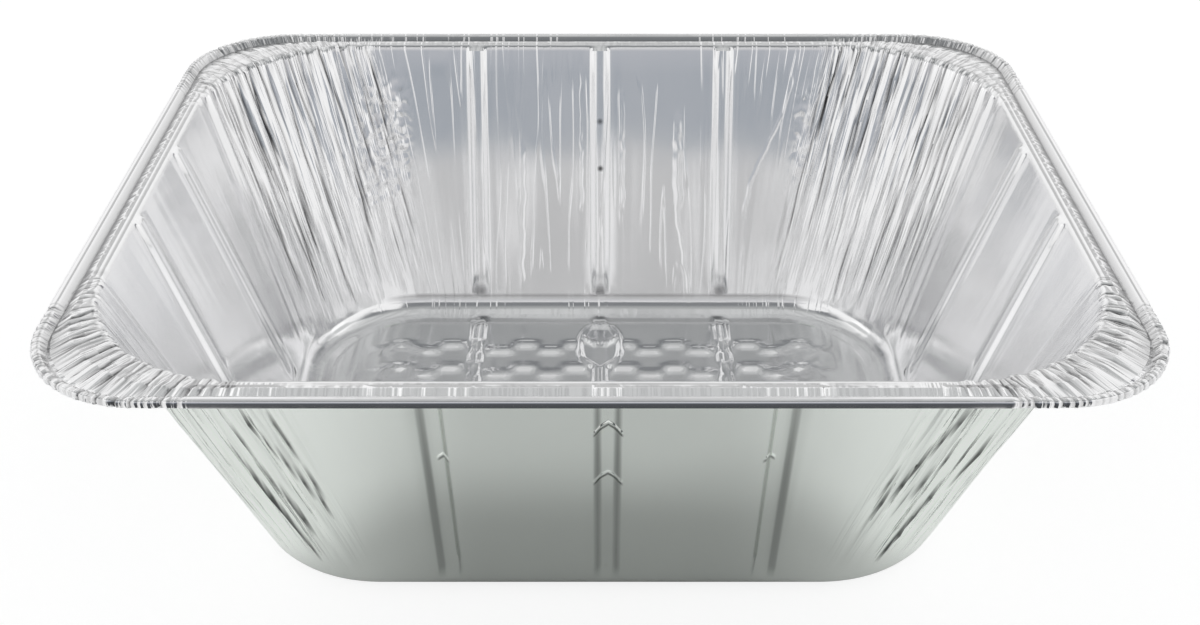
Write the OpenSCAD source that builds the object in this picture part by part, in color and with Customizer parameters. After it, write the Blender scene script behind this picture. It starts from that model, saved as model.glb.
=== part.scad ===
// Deep foil roasting pan. One sheet of aluminium foil is drawn into a tapered tray: the spare
// metal gathers in pleats at the corners, ribs are pressed into the walls and the floor, and
// the edge is rolled over. The sheet is worked out as rings round the pan, from the floor's edge
// out to the free edge of the roll, and every ring is crossed by the same columns.

/* [Rim] */
// Length over the rolled rim
rim_l = 323.8; // [300:0.1:400]
// Width over the rolled rim
rim_w = 263.5; // [245:0.1:330]
// Height from the table to the top of the rolled rim
pan_h = 106.4; // [60:0.1:130]
// Corner radius of the rolled rim, outside
rim_corner_r = 37.5; // [32:0.5:42]
// Diameter of the rolled edge
curl_d = 3.2; // [2.6:0.1:4]
// Gap between the rolled edge and the bottom of the groove beside it
groove_gap = 1.2; // [0.8:0.1:2]
// Depth of the groove, below the top of the rolled edge
groove_depth = 2.5; // [1.6:0.1:3.5]
// Width of the slope from the groove up to the crest
slope_w = 3.2; // [2:0.1:5]
// Width of the flat crest
crest_w = 2.6; // [1.6:0.1:4]
// Drop of the crest, below the top of the rolled edge
crest_drop = 0.8; // [0.3:0.1:1.2]
// Corner radius of the crest, along its outer edge
crest_corner_r = 44; // [40:0.5:50]

/* [Mouth and walls] */
// Width of the rounded shoulder between the crest and the wall
shoulder_w = 1.8; // [1.2:0.1:3]
// Height of the rounded shoulder
shoulder_h = 2.2; // [1.5:0.1:4]
// Corner radius of the mouth
mouth_corner_r = 56; // [50:0.5:60]
// Length of the flat floor, between the fillets
floor_l = 218.8; // [205:0.1:230]
// Width of the flat floor, between the fillets
floor_w = 160; // [154:0.5:168]
// Corner radius of the flat floor
floor_corner_r = 38; // [34:0.5:42]
// Fillet between the floor and the walls
fillet_r = 9; // [5:0.5:12]

/* [Foil] */
// Thickness of the foil
foil_t = 0.1; // [0.08:0.01:0.15]

/* [Ribs] */
// Width of a wall rib over its sloping flanks
rib_w = 8; // [5:0.1:9]
// Width of a wall rib's flat top
rib_flat_w = 3.8; // [2:0.1:4.5]
// Height of a wall rib, pressed into the pan
rib_h = 1.5; // [0.8:0.1:2]
// Distance between the ribs of a long wall
long_rib_pitch = 50; // [45:0.5:52]
// How far to the right the ribs of the front wall stand
front_rib_shift = 2.2; // [0:0.1:4]
// Distance between the two ribs of a short wall
short_rib_pitch = 52; // [40:0.5:60]
// Length over which a rib runs out at its ends
rib_run_out = 3; // [2:0.5:6]
// Height of the floor ribs
floor_rib_h = 1.1; // [0.6:0.1:1.6]
// Width of a floor rib over its sloping flanks
floor_rib_w = 7; // [5:0.1:8]
// Width of a floor rib's flat top
floor_rib_flat_w = 3.6; // [2:0.1:4.5]

/* [Corner pleats] */
// Pleats in each corner
pleats = 12; // [8:1:13]
// Depth of the pleats near the top of the wall
pleat_depth = 1.5; // [0.6:0.1:2]
// Depth of the pleats across the flange
flange_pleat_depth = 0.7; // [0.2:0.1:1]

/* [Floor embossing] */
// Rows of stepped ridges on each side of the long middle line
ridge_rows = 4; // [2:1:4]
// Distance between the rows
ridge_pitch = 16.5; // [13:0.5:17]
// Width of a ridge
ridge_w = 5; // [3:0.1:6]
// Height of a ridge
ridge_h = 0.8; // [0.4:0.1:1.2]
// Sideways step of a ridge, from its middle line
ridge_step = 2.3; // [1:0.1:3]
// Steps between two floor ribs
steps_per_rib = 5; // [5:1:5]
// Steps on each side of the middle of the floor
half_steps = 7; // [6:1:7]
// Clear margin between the embossing and the floor's edge
emboss_margin = 4; // [3:0.5:6]

/* [Hidden] */

half_l = rim_l / 2;
half_w = rim_w / 2;
foil_mid = foil_t / 2;

// Insets from the outer edge of the roll, and heights, of the sheet's middle
curl_r = curl_d / 2;
curl_mid_r = curl_r - foil_mid;
curl_z = pan_h - curl_r;
groove_inset = curl_d + groove_gap;
groove_z = pan_h - groove_depth;
crest_outer_inset = groove_inset + slope_w;
crest_inner_inset = crest_outer_inset + crest_w;
crest_z = pan_h - crest_drop - foil_mid;
mouth_inset = crest_inner_inset + shoulder_w;
mouth_z = crest_z - shoulder_h;

// Where the fillet meets the wall
fillet_turn = 72;
wall_run = fillet_r * sin(fillet_turn);
wall_foot_z = foil_mid + fillet_r * (1 - cos(fillet_turn));
wall_foot_r = floor_corner_r + wall_run;
wall_taper = atan2(half_l - mouth_inset - floor_l / 2 - wall_run, mouth_z - wall_foot_z);

// Ways in which the foil is pushed by ribs and pleats: across the ring, and up
push_none = [0, 0];
push_wall = [-cos(wall_taper), sin(wall_taper)];
push_shoulder = [-0.7, 0.7];
push_flange = [0, 1];

// A ring is its half length, half width, corner radius, height, rib height, pleat depth and push
function floor_ring(grow, z) =
    [floor_l / 2 + grow, floor_w / 2 + grow, floor_corner_r + grow, z, 0, 0, push_none];
function rim_ring(inset, r, z, pleat, push) =
    [half_l - inset, half_w - inset, r, z, 0, pleat, push];

// A ring part of the way up the wall, from its foot to the mouth
function wall_ring(up, rib, pleat) =
    let (low = floor_ring(wall_run, wall_foot_z),
         high = rim_ring(mouth_inset, mouth_corner_r, mouth_z, 0, push_wall),
         at = [for (k = [0 : 3]) low[k] + (high[k] - low[k]) * up])
    [at[0], at[1], at[2], at[3], rib, pleat, push_wall];

// Shares of the wall's height at which its rings lie
run_out_share = rib_run_out / (mouth_z - wall_foot_z);
wall_rings = [
    wall_ring(0, 0, 0),
    wall_ring(run_out_share * 2, rib_h, pleat_depth * 0.25),
    wall_ring(0.4, rib_h, pleat_depth * 0.6),
    wall_ring(0.75, rib_h, pleat_depth),
    wall_ring(1 - run_out_share, rib_h, pleat_depth)
];

floor_rings = [
    floor_ring(0, foil_mid),
    floor_ring(fillet_r * sin(fillet_turn / 2), foil_mid + fillet_r * (1 - cos(fillet_turn / 2)))
];

flange_rings = [
    rim_ring(mouth_inset, mouth_corner_r, mouth_z, pleat_depth * 0.7, push_shoulder),
    rim_ring(crest_inner_inset, mouth_corner_r - shoulder_w, crest_z, flange_pleat_depth, push_flange),
    rim_ring(crest_outer_inset, crest_corner_r, crest_z, flange_pleat_depth, push_flange),
    rim_ring(groove_inset, rim_corner_r - groove_inset, groove_z, flange_pleat_depth * 0.4, push_flange)
];

// The roll starts on its inner side, goes over the top and round the outside, and ends inside itself
curl_start = 135;
curl_step = 45;
curl_rings_n = 9;
curl_tuck_from = 6;
curl_tuck = 0.18;
function curl_ring(k) =
    let (turn = curl_start - curl_step * k,
         r = curl_mid_r * (1 - curl_tuck * max(0, k - curl_tuck_from)),
         inset = curl_r - r * cos(turn))
    rim_ring(inset, rim_corner_r - inset, curl_z + r * sin(turn), 0, push_none);
curl_rings = [for (k = [0 : curl_rings_n - 1]) curl_ring(k)];

rings = concat(floor_rings, wall_rings, flange_rings, curl_rings);
// The floor's edge lies flat, so the foil's thickness there is straight up and down
flat_rings_n = 1;
first_fine = len(floor_rings);
last_fine = first_fine + len(wall_rings) + len(flange_rings) - 1;

// A column is the corner that it turns about, its place along a side, its outward angle, its
// share of a rib's height and of a pleat's depth, and whether the coarse rings use it too
corner_steps = 2 * pleats;
pleat_spread = 0.35;
function corner_x(quarter) = quarter == 0 || quarter == 3 ? 1 : -1;
function corner_y(quarter) = quarter < 2 ? 1 : -1;
// Folds in and out by turns, none at the ends of the corner, and uneven from pleat to pleat
function pleat_share(j) =
    j == 0 || j == corner_steps ? 0
    : (j % 2 == 1 ? 0.5 : -0.5) * (1 - pleat_spread * pow(sin(137 * j), 2));
function corner_columns(quarter) =
    [for (j = [0 : corner_steps])
        [corner_x(quarter), corner_y(quarter), 0, 0, 90 * (quarter + j / corner_steps),
         0, pleat_share(j), j % 2 == 0]];

// Four columns carry a rib: its two feet and the two edges of its flat top
function rib_offsets(w, flat_w) = [[-w / 2, 0], [-flat_w / 2, 1], [flat_w / 2, 1], [w / 2, 0]];
function rib_places(centres) =
    [for (c = centres) for (o = rib_offsets(rib_w, rib_flat_w)) [c + o[0], o[1]]];
long_rib_places = rib_places([-long_rib_pitch, 0, long_rib_pitch]);
front_rib_places = rib_places([for (k = [-1 : 1]) k * long_rib_pitch + front_rib_shift]);
short_rib_places = rib_places([-short_rib_pitch / 2, short_rib_pitch / 2]);
function end_columns(side, places) =
    [for (p = places) [side, 0, 0, side * p[0], side > 0 ? 0 : 180, p[1], 0, false]];
function long_columns(side, places) =
    [for (p = places) [0, side, -side * p[0], 0, 90 * (2 - side), p[1], 0, false]];

columns = concat(
    end_columns(1, short_rib_places), corner_columns(0),
    long_columns(1, long_rib_places), corner_columns(1),
    end_columns(-1, short_rib_places), corner_columns(2),
    long_columns(-1, front_rib_places), corner_columns(3));
columns_n = len(columns);
coarse = [for (j = [0 : columns_n - 1]) if (columns[j][7]) j];
coarse_n = len(coarse);

// Where a column crosses a ring
function sheet_point(g, c) =
    let (lift = g[4] * c[5] + g[5] * c[6],
         out = [cos(c[4]), sin(c[4])],
         reach = g[2] + lift * g[6][0])
    [c[0] * (g[0] - g[2]) + c[2] + reach * out[0],
     c[1] * (g[1] - g[2]) + c[3] + reach * out[1],
     g[3] + lift * g[6][1]];
sheet = [for (g = rings) [for (c = columns) sheet_point(g, c)]];

// The sheet's outward direction at a ring and column
function unit(v) = v / norm(v);
function outward(i, j) =
    let (up = min(i + 1, len(rings) - 1),
         down = max(i - 1, 0),
         next = (j + 1) % columns_n,
         last = (j + columns_n - 1) % columns_n)
    i < flat_rings_n ? [0, 0, -1]
    : unit(cross(sheet[i][next] - sheet[i][last], sheet[up][j] - sheet[down][j]));
function sheet_side(side) =
    [for (i = [0 : len(rings) - 1]) for (j = [0 : columns_n - 1])
        sheet[i][j] + side * foil_mid * outward(i, j)];

// The floor is a grid of lines across the pan and lines that follow the stepped ridges
step_l = long_rib_pitch / steps_per_rib;
half_step_flat = floor_rib_w / 2;
floor_rib_offsets = rib_offsets(floor_rib_w, floor_rib_flat_w);
function is_rib(k) = k % steps_per_rib == 0 && abs(k) <= steps_per_rib;
// A ridge steps to and fro, and starts afresh at the side ribs
function step_side(k) = (abs(k) + (abs(k) < steps_per_rib ? 0 : 1)) % 2 == 0 ? -1 : 1;
// Each line across is its place, its offset from there, its share of a rib's height and its side
// of the step
step_lines = [for (k = [-half_steps : half_steps])
    for (o = is_rib(k) ? floor_rib_offsets : [[-half_step_flat, 0], [half_step_flat, 0]])
        [k * step_l, o[0], o[1], step_side(k)]];
ridge_end = 3;

// Reach of the flat floor along the pan, at a distance from its long middle line
function floor_reach(y) =
    let (over = max(0, abs(y) - (floor_w / 2 - floor_corner_r)))
    floor_l / 2 - floor_corner_r + sqrt(max(0, pow(floor_corner_r, 2) - over * over));
// Lines along the pan: the middle of the ridge, the offset from it, the share of a ridge's step
// and height, and the share of a rib's height
rib_end = floor_w / 2 - emboss_margin;
row_middles = [for (row = [-ridge_rows : ridge_rows - 1]) (row + 0.5) * ridge_pitch];
ridge_lines = concat(
    [[-rib_end, 0, 0, 0, 0], [-rib_end + rib_run_out, 0, 0, 0, 1]],
    [for (y = row_middles) for (o = [[-ridge_w / 2, 0], [0, 1], [ridge_w / 2, 0]])
        [y, o[0], 1, o[1], 1]],
    [[rib_end - rib_run_out, 0, 0, 0, 1], [rib_end, 0, 0, 0, 0]]);

lines_x = len(step_lines) + 4;
lines_y = len(ridge_lines);
function end_x(end, y) = floor_reach(y) - emboss_margin - (end == 0 ? 0 : ridge_end);
function grid_x(m, y) =
    let (line = step_lines[m - 2])
    m == 0 ? -end_x(0, y) : m == 1 ? -end_x(1, y)
    : m == lines_x - 1 ? end_x(0, y) : m == lines_x - 2 ? end_x(1, y)
    : line[0] + line[1];
function near_step(m) = step_lines[max(0, min(len(step_lines) - 1, m - 2))];
function grid_point(m, n) =
    let (line = ridge_lines[n],
         y = line[0] + line[1] + line[2] * ridge_step * near_step(m)[3],
         rib = m > 1 && m < lines_x - 2 ? near_step(m)[2] * line[4] : 0,
         ridge = m > 0 && m < lines_x - 1 ? line[3] : 0)
    [grid_x(m, y), y, foil_mid + max(rib * floor_rib_h, ridge * ridge_h)];
function grid_side(side) =
    [for (m = [0 : lines_x - 1]) for (n = [0 : lines_y - 1])
        grid_point(m, n) - [0, 0, side * foil_mid]];

// Corners of the triangles, by number, seen from below or from outside
grid_start = len(rings) * columns_n;
side_n = grid_start + lines_x * lines_y;
function at(i, j) = i * columns_n + j % columns_n;
function grid_at(m, n) = grid_start + m * lines_y + n;

function band(i, used) =
    [for (k = [0 : len(used) - 1])
        let (a = used[k], b = used[(k + 1) % len(used)])
        each [[at(i, a), at(i, b), at(i + 1, b)], [at(i, a), at(i + 1, b), at(i + 1, a)]]];
all_columns = [for (j = [0 : columns_n - 1]) j];
function coarse_next(k) = k + 1 < coarse_n ? coarse[k + 1] : coarse[0] + columns_n;
// From a coarse ring out to a fine one, and from a fine ring out to a coarse one
function widen(i) =
    [for (k = [0 : coarse_n - 1])
        let (a = coarse[k], b = coarse_next(k))
        each concat([for (j = [a : b - 1]) [at(i, a), at(i + 1, j + 1), at(i + 1, j)]],
                    [[at(i, a), at(i, b), at(i + 1, b)]])];
function narrow(i) =
    [for (k = [0 : coarse_n - 1])
        let (a = coarse[k], b = coarse_next(k))
        each concat([for (j = [a : b - 1]) [at(i, j), at(i, j + 1), at(i + 1, a)]],
                    [[at(i, b), at(i + 1, b), at(i + 1, a)]])];

grid_faces = [for (m = [0 : lines_x - 2]) for (n = [0 : lines_y - 2])
    each [[grid_at(m, n), grid_at(m, n + 1), grid_at(m + 1, n + 1)],
          [grid_at(m, n), grid_at(m + 1, n + 1), grid_at(m + 1, n)]]];

// The edge of the grid, turning from its lowest corner, and the coarse ring turned to match it
grid_edge = concat(
    [for (n = [0 : lines_y - 1]) [lines_x - 1, n]],
    [for (m = [lines_x - 2 : -1 : 0]) [m, lines_y - 1]],
    [for (n = [lines_y - 2 : -1 : 0]) [0, n]],
    [for (m = [1 : lines_x - 2]) [m, 0]]);
edge_from = grid_point(lines_x - 1, 0);
edge_turn = atan2(edge_from[1], edge_from[0]);
function turn(p) = (atan2(p[1], p[0]) - edge_turn + 360) % 360;
coarse_turns = [for (j = coarse) turn(sheet[0][j])];
coarse_first = [for (k = [0 : coarse_n - 1])
    if (coarse_turns[k] < coarse_turns[(k + coarse_n - 1) % coarse_n]) k][0];
inner_loop = [for (e = grid_edge) [grid_at(e[0], e[1]), turn(grid_point(e[0], e[1]))]];
outer_loop = [for (k = [0 : coarse_n - 1])
    let (j = (coarse_first + k) % coarse_n) [at(0, coarse[j]), coarse_turns[j]]];
function loop_at(loop, k) = loop[k % len(loop)][0];
function loop_turn(loop, k) = loop[k % len(loop)][1] + (k < len(loop) ? 0 : 360);
// Triangles between the two loops, stepping along whichever lags behind
function stitch(a, b) =
    a == len(inner_loop) && b == len(outer_loop) ? []
    : b == len(outer_loop)
        || (a < len(inner_loop) && loop_turn(inner_loop, a + 1) <= loop_turn(outer_loop, b + 1))
    ? concat([[loop_at(inner_loop, a), loop_at(inner_loop, a + 1), loop_at(outer_loop, b)]],
             stitch(a + 1, b))
    : concat([[loop_at(inner_loop, a), loop_at(outer_loop, b + 1), loop_at(outer_loop, b)]],
             stitch(a, b + 1));

last_ring = len(rings) - 1;
faces = concat(
    grid_faces,
    stitch(0, 0),
    [for (i = [0 : first_fine - 2]) each band(i, coarse)],
    widen(first_fine - 1),
    [for (i = [first_fine : last_fine - 1]) each band(i, all_columns)],
    narrow(last_fine),
    [for (i = [last_fine + 1 : last_ring - 1]) each band(i, coarse)]);

// The free edge of the foil, inside the roll
free_edge = [for (k = [0 : coarse_n - 1])
    let (a = at(last_ring, coarse[k]), b = at(last_ring, coarse_next(k)))
    each [[a, b, b + side_n], [a, b + side_n, a + side_n]]];

function flipped(f) = [f[2], f[1], f[0]];
module foil_pan() {
    color("silver")
    polyhedron(
        points = concat(sheet_side(1), grid_side(1), sheet_side(-1), grid_side(-1)),
        faces = concat(
            [for (f = faces) flipped(f)],
            [for (f = faces) [f[0] + side_n, f[1] + side_n, f[2] + side_n]],
            [for (f = free_edge) flipped(f)]));
}

foil_pan();
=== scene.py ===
import math

import bpy
import numpy as np
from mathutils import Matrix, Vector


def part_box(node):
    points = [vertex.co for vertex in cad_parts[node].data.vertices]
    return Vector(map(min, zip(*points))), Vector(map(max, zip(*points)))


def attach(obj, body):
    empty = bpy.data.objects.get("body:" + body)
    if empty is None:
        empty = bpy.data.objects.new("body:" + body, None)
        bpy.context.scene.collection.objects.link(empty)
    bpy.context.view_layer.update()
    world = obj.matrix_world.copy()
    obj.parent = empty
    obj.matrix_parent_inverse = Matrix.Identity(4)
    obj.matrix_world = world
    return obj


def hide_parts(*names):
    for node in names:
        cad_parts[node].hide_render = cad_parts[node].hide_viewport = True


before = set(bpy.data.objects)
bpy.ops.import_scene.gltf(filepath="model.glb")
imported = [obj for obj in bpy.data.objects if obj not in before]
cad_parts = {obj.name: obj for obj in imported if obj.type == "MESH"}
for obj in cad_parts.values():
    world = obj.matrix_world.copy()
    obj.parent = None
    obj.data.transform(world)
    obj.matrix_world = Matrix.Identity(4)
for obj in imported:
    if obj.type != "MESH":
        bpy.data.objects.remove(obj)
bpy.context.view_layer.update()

# The camera comes first. It was fitted to the photograph, which looks down on the long front
# side of the pan from a little way off, so the rim at the front is drawn larger than the back.
photo_w = 1200
focal_px = 1541.6
camera_pitch = math.radians(31.74)
camera_place = (0.0, -0.468, 0.3421)
sensor_w = 36.0

camera_data = bpy.data.cameras.new("camera")
camera_data.sensor_fit = "HORIZONTAL"
camera_data.sensor_width = sensor_w
camera_data.lens = sensor_w * focal_px / photo_w
camera_data.clip_start = 0.01
camera = bpy.data.objects.new("camera", camera_data)
camera.location = camera_place
camera.rotation_euler = (math.pi / 2 - camera_pitch, 0.0, 0.0)
bpy.context.scene.collection.objects.link(camera)
bpy.context.scene.camera = camera
bpy.context.scene.view_settings.view_transform = "Standard"


# The line of the foil. The pan is one sheet of aluminium foil, pressed in one stroke: it leaves
# the flat floor in a fillet, climbs the wall, rounds the shoulder to a flat crest, drops into a
# groove and ends in a roll that stiffens the edge. A row holds half length, half width, corner
# radius and height.
half_l, half_w, pan_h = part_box("foil_pan")[1]
foil_t = 0.0001
rim_corner_r = 0.0375
curl_r = 0.0016
curl_z = pan_h - curl_r
curl_squareness = 2.7
curl_tuck = 0.64
groove_inset = 0.0044
groove_z = pan_h - 0.0025
crest_outer_inset = 0.0076
crest_inner_inset = 0.0102
crest_corner_r = 0.044
crest_z = pan_h - 0.0008 - foil_t / 2
mouth_inset = 0.012
mouth_corner_r = 0.056
mouth_z = crest_z - 0.0022
floor_half_l = 0.1094
floor_half_w = 0.080
floor_corner_r = 0.038
fillet_r = 0.009
fillet_turn = math.radians(72)


def between(start, end, share):
    """A straight blend: start where share is 0, end where it is 1."""
    return start + (end - start) * share


def smooth(value, start, end):
    """A smooth step: 0 up to start, 1 from end on, 3s^2 - 2s^3 between."""
    share = np.clip((value - start) / (end - start), 0.0, 1.0)
    return share * share * (3.0 - 2.0 * share)


def floor_rows(grow, z):
    """Rows whose outline is the floor's outline, moved outwards by grow."""
    flat = 0.0 * grow
    return np.column_stack([floor_half_l + grow, floor_half_w + grow, floor_corner_r + grow, z + flat])


def rim_rows(inset, radius, z):
    """Rows whose outline is the rim's outline, moved inwards by inset, with its own corner radius."""
    return np.column_stack([half_l - inset, half_w - inset, radius, z])


# Border: a narrow flat strip of floor round the embossing
border_rows = floor_rows(np.array([-0.0025]), foil_t / 2)
# Fillet: a circular arc through 72 degrees
turn = np.linspace(0.0, fillet_turn, 7)
fillet_rows = floor_rows(fillet_r * np.sin(turn), foil_t / 2 + fillet_r * (1.0 - np.cos(turn)))
# Wall: straight from the fillet to the mouth
mouth_row = rim_rows(np.array([mouth_inset]), mouth_corner_r, mouth_z)[0]
wall_share = np.array([0.012, 0.06, 0.14, 0.23, 0.33, 0.43, 0.53, 0.63, 0.73, 0.82, 0.91, 1.0])
wall_rows = between(fillet_rows[-1], mouth_row, wall_share[:, None])
# Shoulder: a parabola from the wall's line to the level of the crest
taper = math.atan2(mouth_row[0] - fillet_rows[-1][0], mouth_row[3] - fillet_rows[-1][3])
turn_inset = mouth_inset - (crest_z - mouth_z) * math.tan(taper)
share = np.linspace(0.0, 1.0, 4)[1:]
rest = 1 - share
inset = rest ** 2 * mouth_inset + 2 * share * rest * turn_inset + share ** 2 * crest_inner_inset
rise = rest ** 2 * mouth_z + (1 - rest ** 2) * crest_z
shoulder_rows = rim_rows(inset, mouth_corner_r - (mouth_inset - inset), rise)
# Crest: flat, with its outer edge turned more tightly round the corner than its inner edge
share = np.linspace(0.0, 1.0, 3)[1:]
inset = between(crest_inner_inset, crest_outer_inset, share)
inner_r = mouth_corner_r - (mouth_inset - crest_inner_inset)
crest_rows = rim_rows(inset, between(inner_r, crest_corner_r, share), crest_z + 0.0 * share)
# Slope: straight down into the groove, softened at both ends
share = np.array([0.12, 0.88, 1.0])
inset = between(crest_outer_inset, groove_inset, share)
drop = np.array([0.06, 0.94, 1.0])
slope_rows = rim_rows(inset, between(crest_corner_r, rim_corner_r - groove_inset, share),
                      between(crest_z, groove_z, drop))
# Roll: a squarish circle, |x|^2.7 + |z|^2.7 = r^2.7, from its inner side over the top and round to
# where it tucks inside itself
turn = np.radians([152.0, 122.0, 90.0, 60.0, 38.0, 10.0, -28.0, -75.0, -190.0])
radius = (curl_r - foil_t / 2) * np.where(turn < -math.pi / 2, curl_tuck, 1.0)
inset = curl_r - radius * np.sign(np.cos(turn)) * np.abs(np.cos(turn)) ** (2 / curl_squareness)
rise = curl_z + radius * np.sign(np.sin(turn)) * np.abs(np.sin(turn)) ** (2 / curl_squareness)
curl_rows = rim_rows(inset, rim_corner_r - inset, rise)

rows = np.vstack([border_rows, fillet_rows, wall_rows, shoulder_rows, crest_rows, slope_rows, curl_rows])
rows_n = len(rows)
fillet_end = len(border_rows) + len(fillet_rows)
wall_end = fillet_end + len(wall_rows)
shoulder_end = wall_end + len(shoulder_rows)
crest_end = shoulder_end + len(crest_rows)
slope_end = crest_end + len(slope_rows)
# Length along the line, and the direction square to it on the food side: outwards and up
step_out = np.gradient(rows[:, 0])
step_up = np.gradient(rows[:, 3])
step_len = np.hypot(step_out, step_up)
push_out, push_up = -step_up / step_len, step_out / step_len
line_length = np.concatenate([[0.0], np.cumsum(np.hypot(np.diff(rows[:, 0]), np.diff(rows[:, 3])))])
# Share of the wall's height, from the fillet to the mouth, and share of the way over the flange
wall_up = np.clip((rows[:, 3] - fillet_rows[-1][3]) / (mouth_z - fillet_rows[-1][3]), 0.0, 1.0)
wall_up[wall_end:] = 1.0
flange_in = line_length[wall_end - 1]
flange_out = line_length[slope_end - 1]
flange_share = np.clip((line_length - flange_in) / (flange_out - flange_in), 0.0, 1.0)


# The columns of the sheet run from the floor to the roll. Along a side they stand at fixed places
# where the ribs are and spread out towards the corners. Round a corner they are evenly spaced,
# and above the mouth, where the bend gets tighter, they run on a little way along both sides.
rib_half_w = 0.0040
rib_half_flat = 0.0019
long_ribs = (-0.050, 0.0, 0.050)
front_ribs = tuple(rib + 0.0022 for rib in long_ribs)
short_ribs = (-0.026, 0.026)
rib_lines = np.array([-4.4, -3.7, -2.95, -2.2, -1.5, 0.0, 1.5, 2.2, 2.95, 3.7, 4.4]) / 1000
corner_columns_n = 171


def side_columns(ribs, gap_n, spread_n):
    """Fixed place of each column along a side, and its spread: the share of the way to the corner."""
    places = [rib + rib_lines for rib in ribs]
    for first, second in zip(ribs[:-1], ribs[1:]):
        places.append(np.linspace(first + rib_lines[-1], second + rib_lines[0], gap_n + 2)[1:-1])
    places = np.sort(np.concatenate(places))
    shares = 1.0 - (1.0 - np.linspace(0.0, 1.0, spread_n + 2)[1:-1]) ** 1.3
    fixed = np.concatenate([np.full(spread_n, places[0]), places, np.full(spread_n, places[-1])])
    spread = np.concatenate([-shares[::-1], np.zeros(len(places)), shares])
    return fixed, spread


row_l, row_w, row_r, row_z = (rows[:, k][:, None] for k in range(4))
straight_l = np.minimum(row_l - row_r, mouth_row[0] - mouth_row[2])
straight_w = np.minimum(row_w - row_r, mouth_row[1] - mouth_row[2])
corner_run_on = (row_l - row_r) - straight_l
corner_half = row_r * math.pi / 4 + corner_run_on


def side_sheet(fixed, spread, on_long, sign):
    """Place and facing of a side's columns in every row."""
    straight = straight_l if on_long else straight_w
    along = fixed * (1.0 - np.abs(spread)) + spread * straight
    across = sign * (row_w if on_long else row_l) + 0.0 * along
    still = 0.0 * along
    return [along, across, still, still + sign] if on_long else [across, along, still + sign, still]


def corner_sheet(shares, sign_x, sign_y):
    """Place and facing of a corner's columns: an arc, with a straight run past either end of it."""
    distance = shares * corner_half
    bend = np.clip(distance / row_r, -math.pi / 4, math.pi / 4)
    past = distance - bend * row_r
    face_x, face_y = np.cos(bend + math.pi / 4), np.sin(bend + math.pi / 4)
    x = row_l - row_r + row_r * face_x - np.maximum(past, 0.0)
    y = row_w - row_r + row_r * face_y - np.maximum(-past, 0.0)
    return [sign_x * x, sign_y * y, sign_x * face_x, sign_y * face_y]


# Anticlockwise from the right-hand side: a side, then the corner that follows it
sheet_parts = []
from_rib = []
rib_kind = []
corner_middles = []
columns_n = 0
shares = np.linspace(-1.0, 1.0, corner_columns_n)
for sign_x, sign_y, on_long in ((1, 1, False), (-1, 1, True), (-1, -1, False), (1, -1, True)):
    long_side_ribs = front_ribs if sign_y < 0 else long_ribs
    ribs, gap_n, spread_n = (long_side_ribs, 7, 12) if on_long else (short_ribs, 8, 10)
    fixed, spread = side_columns(ribs, gap_n, spread_n)
    walk = sign_y if on_long else sign_x
    order = -walk if on_long else walk
    fixed, spread = fixed[::order], spread[::order]
    sheet_parts.append(side_sheet(fixed, spread, on_long, walk))
    nearest = np.argmin(np.abs(fixed[:, None] - np.array(ribs)), axis=1)
    from_rib.append(np.where(spread == 0.0, fixed - np.array(ribs)[nearest], 1.0))
    # 0: at the short sides, 1: at the back, 3: the front's middle rib, -2 and 2: its outer ribs
    kind = np.where(nearest == 1, 3, 2 * (nearest - 1)) if sign_y < 0 else np.ones(len(fixed), int)
    rib_kind.append(kind if on_long else np.zeros(len(fixed), int))
    # The corner's shares run from the short side to the long side, so they turn round on two corners
    corner_walk = sign_x * sign_y
    sheet_parts.append(corner_sheet(shares[::corner_walk], sign_x, sign_y))
    from_rib.append(np.ones(corner_columns_n))
    rib_kind.append(np.zeros(corner_columns_n, int))
    corner_middles.append((columns_n + len(fixed) + corner_columns_n // 2, corner_walk))
    columns_n += len(fixed) + corner_columns_n
flat_x, flat_y, out_x, out_y = (np.hstack([part[k] for part in sheet_parts]) for k in range(4))
from_rib = np.concatenate(from_rib)
rib_kind = np.concatenate(rib_kind)


def lifted(reach):
    """The sheet's points, moved by reach square to the sheet, towards the food."""
    outwards = reach * push_out[:, None]
    upwards = reach * push_up[:, None]
    return np.stack([flat_x + outwards * out_x, flat_y + outwards * out_y, row_z + upwards], axis=-1)


mouth_line = np.column_stack([flat_x[wall_end - 1], flat_y[wall_end - 1]])
gaps = np.linalg.norm(np.roll(mouth_line, -1, axis=0) - mouth_line, axis=1)
around = np.concatenate([[0.0], np.cumsum(gaps)])
perimeter = around[-1]
around = around[:-1]


# Ribs are pressed into the walls, three in each long wall and two in each short one. Each has a
# flat top and sloping flanks and runs out at its ends. The outer ribs at the front have a wide
# flank towards the corner and a narrow one.
rib_h = 0.0015


def rib_profile(distance, half_w, half_flat):
    """Trapezium with soft edges: 1 over the flat top, falling to 0 at the foot of the flank."""
    return smooth(-np.abs(distance), -half_w - 0.0002, -half_flat + 0.0002)


rib_run = smooth(wall_up, 0.0, 0.05) * (1.0 - smooth(flange_share, 0.0, 0.12))
lean = np.sign(rib_kind) * (np.abs(rib_kind) == 2) * np.sign(from_rib)
at_back = rib_kind == 1
foot = np.select([rib_kind == 0, at_back], [0.0046, 0.0042], rib_half_w + 0.0003 * lean)
flat_top = np.select([rib_kind == 0, at_back], [0.0013, 0.0014], rib_half_flat - 0.0004 * lean)
rib_shape = rib_profile(from_rib, foot, flat_top)
rib_lift = rib_h * rib_run[:, None] * rib_shape
# Where painted shade falls on the flanks of the ribs; only the outside material uses it
rib_flank_shade = np.clip(7.0 * rib_shape * (1.0 - rib_shape), 0.0, 1.0) * rib_run[:, None]


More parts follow.
